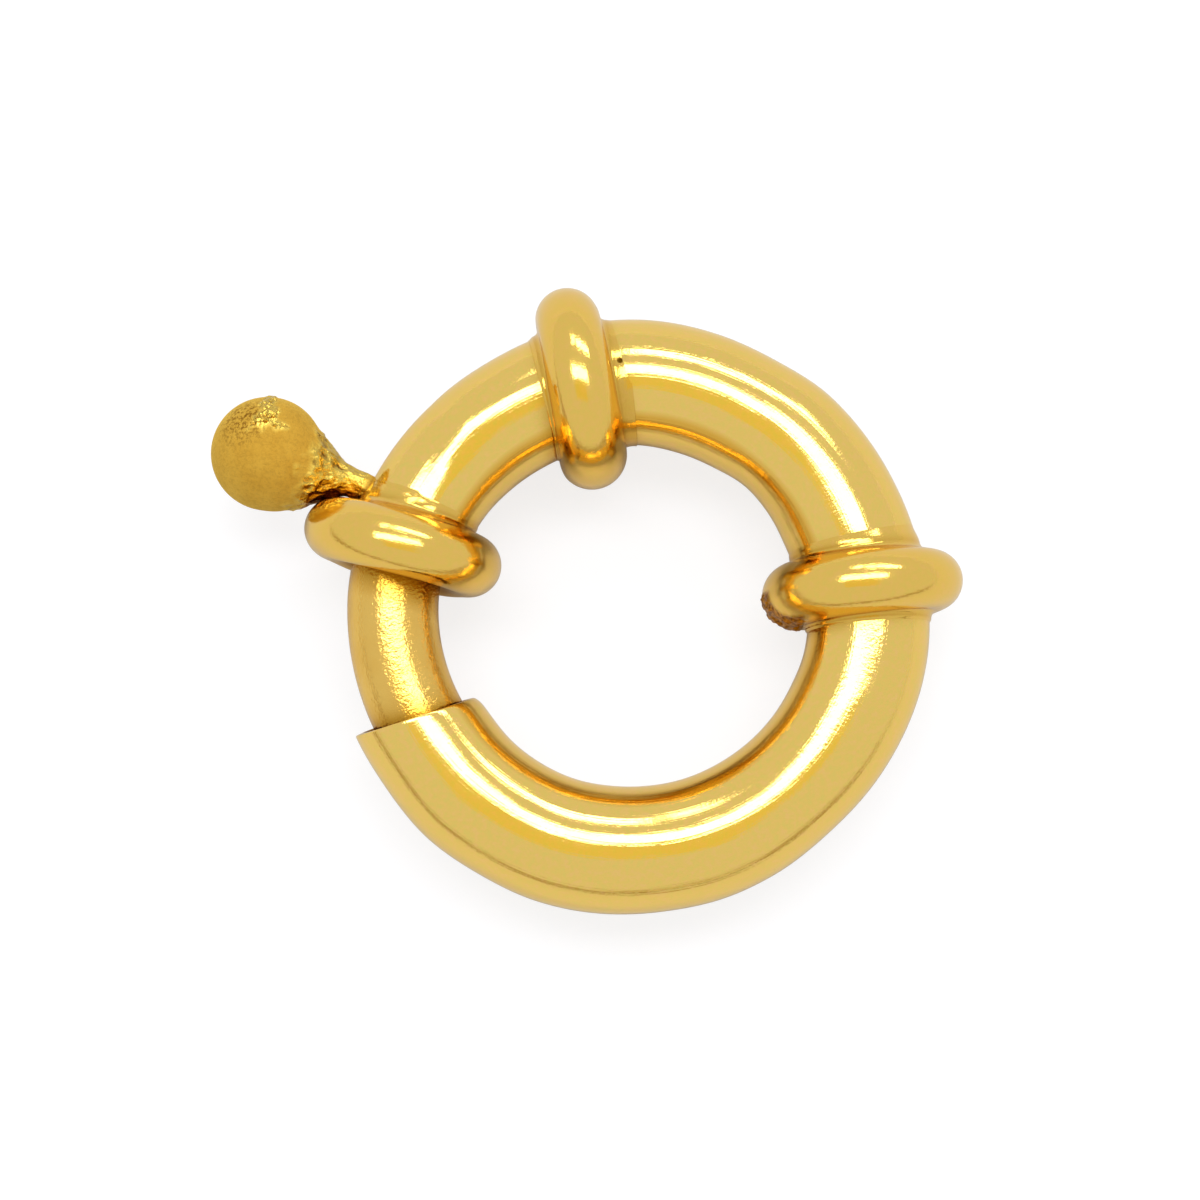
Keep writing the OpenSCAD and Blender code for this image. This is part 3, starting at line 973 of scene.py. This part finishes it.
GATE_COLLAR_ANGLE, TOP_ANGLE, SIDE_ANGLE = GATE_ANGLE + 0.15, 102.1, 6.35
gate_collar = make_collar(
    "gate_collar_bead", GATE_COLLAR_ANGLE, lean=1.2, on=0, back=SLEEVE_LONG, nod=0.08, slope=0.02, lip=True
)
apply_modifier(
    gate_collar, "BOOLEAN", operation="DIFFERENCE", object=slot_tool, solver="EXACT", use_self=True
)
bpy.data.objects.remove(slot_tool)
top_collar = make_collar(
    "top_collar_bead", TOP_ANGLE, lean=-1.5, on=SLEEVE_SHORT, back=SLEEVE_LONG, swells=(0.1 * MM, 0.0),
    slope=0.05, trumpet=True,
)
side_collar = make_collar(
    "side_collar_bead", SIDE_ANGLE, lean=-0.3, on=SLEEVE_LONG, back=SLEEVE_SHORT,
    swells=(0.02 * MM, -0.05 * MM), nod=-0.035,
)
# The filed flank lies between two distances from the middle of the bead's inner end, on the side that faces a
# way round it.
FILED_CENTRE = ring_point(SIDE_ANGLE, -BEAD_CENTRE)
FILED_FROM, FILED_FULL, FILED_TO = 0.8 * MM, 0.86 * MM, 1.4 * MM
FILED_WAY = Vector((math.cos(math.radians(230)), math.sin(math.radians(230)), 0))
FILED_FACING = 0.56
FILE_MARK_SIZE = 0.15 * MM
FILE_MARK_DEPTH = 0.05


def filed_flank(point):
    """How far a point of the side collar is in its filed flank, from 0 to 1: the clockwise side of the bead's
    inner end."""
    off = Vector((point.x - FILED_CENTRE.x, point.y - FILED_CENTRE.y, 0))
    on_edge = clamp((off.length - FILED_FROM) / (FILED_FULL - FILED_FROM)) * (off.length < FILED_TO)
    return on_edge * clamp((off.normalized().dot(FILED_WAY) - FILED_FACING) * 8)


flank = [filed_flank(v.co) for v in side_collar.data.vertices]
for v, share in zip(side_collar.data.vertices, flank):
    bite = 2 * noise.noise(v.co / FILE_MARK_SIZE) + 0.4
    v.co += (v.co - FILED_CENTRE).normalized() * MM * FILE_MARK_DEPTH * share * bite
filed = side_collar.data.attributes.new("filed_flank", "FLOAT", "POINT")
filed.data.foreach_set("value", flank)
PINHOLE = ring_point(92.1, 0.29 * MM, 1.9 * MM)


def collar_gold():
    """The collars' polished gold: mop lines run round each bead, the side collar's filed flank is left rough
    and brown, and a pinhole shows at the top collar's foot."""
    material, tree, shader, place, unshaded = polished_gold("polished_collar_gold")
    deeper = add_node(
        tree, "ShaderNodeMix", {"Factor": 0.35, 6: unshaded, 7: colour("#EEBE4C")}, data_type="RGBA"
    )
    filed_here = add_node(tree, "ShaderNodeAttribute", attribute_name="filed_flank").outputs["Fac"]
    file_marks = add_node(
        tree, "ShaderNodeTexNoise",
        {"Vector": place, "Scale": 1 / (0.12 * MM), "Detail": 3.0, "Roughness": 0.7},
    )
    brown = add_node(tree, "ShaderNodeValToRGB", {"Fac": file_marks.outputs["Fac"]})
    brown.color_ramp.elements[0].position = 0.4
    brown.color_ramp.elements[0].color = colour("#6A3A08")
    brown.color_ramp.elements[1].position = 0.65
    brown.color_ramp.elements[1].color = colour("#D89A3C")
    darkened = add_node(
        tree, "ShaderNodeMix", {"Factor": filed_here, 6: deeper.outputs[2], 7: brown.outputs["Color"]},
        data_type="RGBA",
    )
    in_pinhole = within(tree, place, PINHOLE, 0.07 * MM, 0.11 * MM)
    pitted = add_node(
        tree, "ShaderNodeMix", {"Factor": in_pinhole, 6: darkened.outputs[2], 7: colour("#3C2508")},
        data_type="RGBA",
    )
    # Painted shade in the collars' corners within 0.9 mm, as where each bead meets its sleeve and the tube.
    corner_shaded = painted_corner_shade(tree, pitted.outputs[2], 0.9 * MM, open_from=0.92, brown="#74460F")
    tree.links.new(corner_shaded, shader.inputs["Base Color"])
    _, mirror = patchy(tree, place, 1.1 * MM, 3.0, smoothest=0.09, roughest=0.15)
    gloss = add_node(tree, "ShaderNodeMix", {"Factor": filed_here, 2: mirror, 3: 0.4}, data_type="FLOAT")
    tree.links.new(gloss.outputs[0], shader.inputs["Roughness"])
    ring_spot, _ = ring_place(tree, place)
    mopped = relief(tree, ring_spot, ((3, 0.07, 0.0035), (0.5, 0.5, 0.007), (0.07, 0.07, 0.003)))
    bump = add_node(tree, "ShaderNodeBump", {"Height": mopped, "Distance": MM, "Strength": 1.0})
    tree.links.new(bump.outputs["Normal"], shader.inputs["Normal"])
    return material


bead_gold = collar_gold()
for piece, node in ((gate_collar, "gate_collar"), (top_collar, "top_collar"), (side_collar, "side_collar")):
    smooth(piece)
    give(piece, bead_gold, node, "ring")

# Floor
# A plain white sheet of card, which the clasp lies on with its three beads. The camera sees it lit up to
# white, and the gold reflects plain card.
FLOOR_R = 1.5
bpy.ops.object.select_all(action="DESELECT")
bpy.ops.mesh.primitive_circle_add(vertices=96, radius=FLOOR_R, fill_type="NGON", location=(0, 0, -COLLAR_R))
floor = begin(bpy.context.object, "card_floor")
bpy.ops.object.mode_set(mode="OBJECT")
card = bpy.data.materials.new("white_card")
card.use_nodes = True
card_tree = card.node_tree
card_tree.nodes.clear()
paper = add_node(card_tree, "ShaderNodeBsdfDiffuse", {"Color": colour("#D2D0CC")})
shaded = add_node(card_tree, "ShaderNodeBsdfDiffuse", {"Color": colour("#8C8C90")})
lift = add_node(card_tree, "ShaderNodeEmission", {"Color": colour("#FFFFFF"), "Strength": 0.76})
both = add_node(card_tree, "ShaderNodeAddShader", {0: shaded.outputs["BSDF"], 1: lift.outputs["Emission"]})
path_kind = add_node(card_tree, "ShaderNodeLightPath")
seen = add_node(
    card_tree, "ShaderNodeMixShader",
    {"Fac": path_kind.outputs["Is Camera Ray"], 1: paper.outputs["BSDF"], 2: both.outputs["Shader"]},
)
add_node(card_tree, "ShaderNodeOutputMaterial", {"Surface": seen.outputs["Shader"]})
floor.data.materials.append(card)

# Light
# A pale light tent all round, with soft boxes above it and a tan board beside the lens. What a polished ring
# shows is these.
world = bpy.data.worlds.new("light_tent")
bpy.context.scene.world = world
world.use_nodes = True
tent = world.node_tree
tent.nodes.clear()
tent_path = add_node(tent, "ShaderNodeLightPath")
tent_place = add_node(tent, "ShaderNodeTexCoord")
tent_parts = add_node(tent, "ShaderNodeSeparateXYZ", {"Vector": tent_place.outputs["Generated"]})
eastward = add_node(tent, "ShaderNodeMath", {0: tent_parts.outputs["X"], 1: 0.0}, operation="MAXIMUM")
behind = add_node(
    tent, "ShaderNodeMath", {0: eastward.outputs["Value"], 1: 0.5, 2: tent_parts.outputs["Y"]},
    operation="MULTIPLY_ADD",
)
sweep = add_node(
    tent, "ShaderNodeMapRange",
    {"Value": behind.outputs["Value"], "From Min": -0.2, "From Max": 0.4, "To Min": 0.0, "To Max": 0.17},
)
tent_height = add_node(
    tent, "ShaderNodeMath", {0: tent_parts.outputs["Z"], 1: sweep.outputs["Result"]}, operation="ADD"
)
tent_shade = add_node(tent, "ShaderNodeValToRGB", {"Fac": tent_height.outputs["Value"]})
tent_shade.color_ramp.elements[0].position = 0.0
tent_shade.color_ramp.elements[0].color = colour("#A6957A")
tent_shade.color_ramp.elements[1].position = 0.17
tent_shade.color_ramp.elements[1].color = colour("#E0E0E0")
tent_shade.color_ramp.elements.new(0.06).color = colour("#BBAE97")
tent_wall = add_node(tent, "ShaderNodeBackground", {"Color": tent_shade.outputs["Color"], "Strength": 1.0})
tent_seen = add_node(tent, "ShaderNodeBackground", {"Color": colour("#FFFFFF"), "Strength": 0.98})
tent_mix = add_node(
    tent, "ShaderNodeMixShader",
    {"Fac": tent_path.outputs["Is Camera Ray"], 1: tent_wall.outputs["Background"],
     2: tent_seen.outputs["Background"]},
)
add_node(tent, "ShaderNodeOutputWorld", {"Surface": tent_mix.outputs["Shader"]})
CEILING = 0.6


def soft_box(name, west, east, south, north, radiance):
    """A level area light over the clasp. Its four sides are given as shares of the ceiling's height."""
    bpy.ops.object.select_all(action="DESELECT")
    bpy.ops.object.light_add(
        type="AREA", location=((west + east) / 2 * CEILING, (south + north) / 2 * CEILING, CEILING)
    )
    box = bpy.context.object
    box.name = name
    box.data.shape = "RECTANGLE"
    box.data.size, box.data.size_y = (east - west) * CEILING, (north - south) * CEILING
    box.data.energy = radiance * 4 * box.data.size * box.data.size_y
    box.visible_camera = False


soft_box("key_box", -0.02, 0.95, 0.92, 1.32, 4)
soft_box("side_box", -0.36, -0.12, 1.0, 1.5, 3)
soft_box("top_box", -0.56, 0.46, 0.1, 0.4, 4)

bpy.ops.object.select_all(action="DESELECT")
bpy.ops.mesh.primitive_plane_add(size=1, location=(-0.06 * CEILING, -0.16 * CEILING, CEILING))
lens_board = bpy.context.object
lens_board.scale = (0.72 * CEILING, 0.4 * CEILING, 1)
begin(lens_board, "lens_board")
bpy.ops.object.mode_set(mode="OBJECT")
board = bpy.data.materials.new("tan_board")
board.use_nodes = True
board.node_tree.nodes.clear()
board_glow = add_node(board.node_tree, "ShaderNodeEmission", {"Color": colour("#E9DD98"), "Strength": 1.0})
add_node(board.node_tree, "ShaderNodeOutputMaterial", {"Surface": board_glow.outputs["Emission"]})
lens_board.data.materials.append(board)
lens_board.visible_camera = False
lens_board.visible_diffuse = False
lens_board.visible_shadow = False

# Camera
# It looks almost straight down the ring's axis, from a little to the south, as the photograph was taken.
CAMERA_TILT = math.radians(7.9)
CAMERA_REACH = 107 * MM
PHOTO_WIDTH = 36.2 * MM
SENSOR_WIDTH = 36
aim = Vector((-0.87 * MM, 0.43 * MM, 0))
bpy.ops.object.select_all(action="DESELECT")
from_aim = Vector((0, -math.sin(CAMERA_TILT), math.cos(CAMERA_TILT)))
bpy.ops.object.camera_add(location=aim + CAMERA_REACH * from_aim, rotation=(CAMERA_TILT, 0, 0))
camera = bpy.context.object
camera.data.sensor_width = SENSOR_WIDTH
camera.data.lens = SENSOR_WIDTH * CAMERA_REACH / PHOTO_WIDTH
camera.data.clip_start = 5 * MM
camera.data.clip_end = 10
bpy.context.scene.camera = camera
bpy.context.scene.view_settings.view_transform = "Standard"
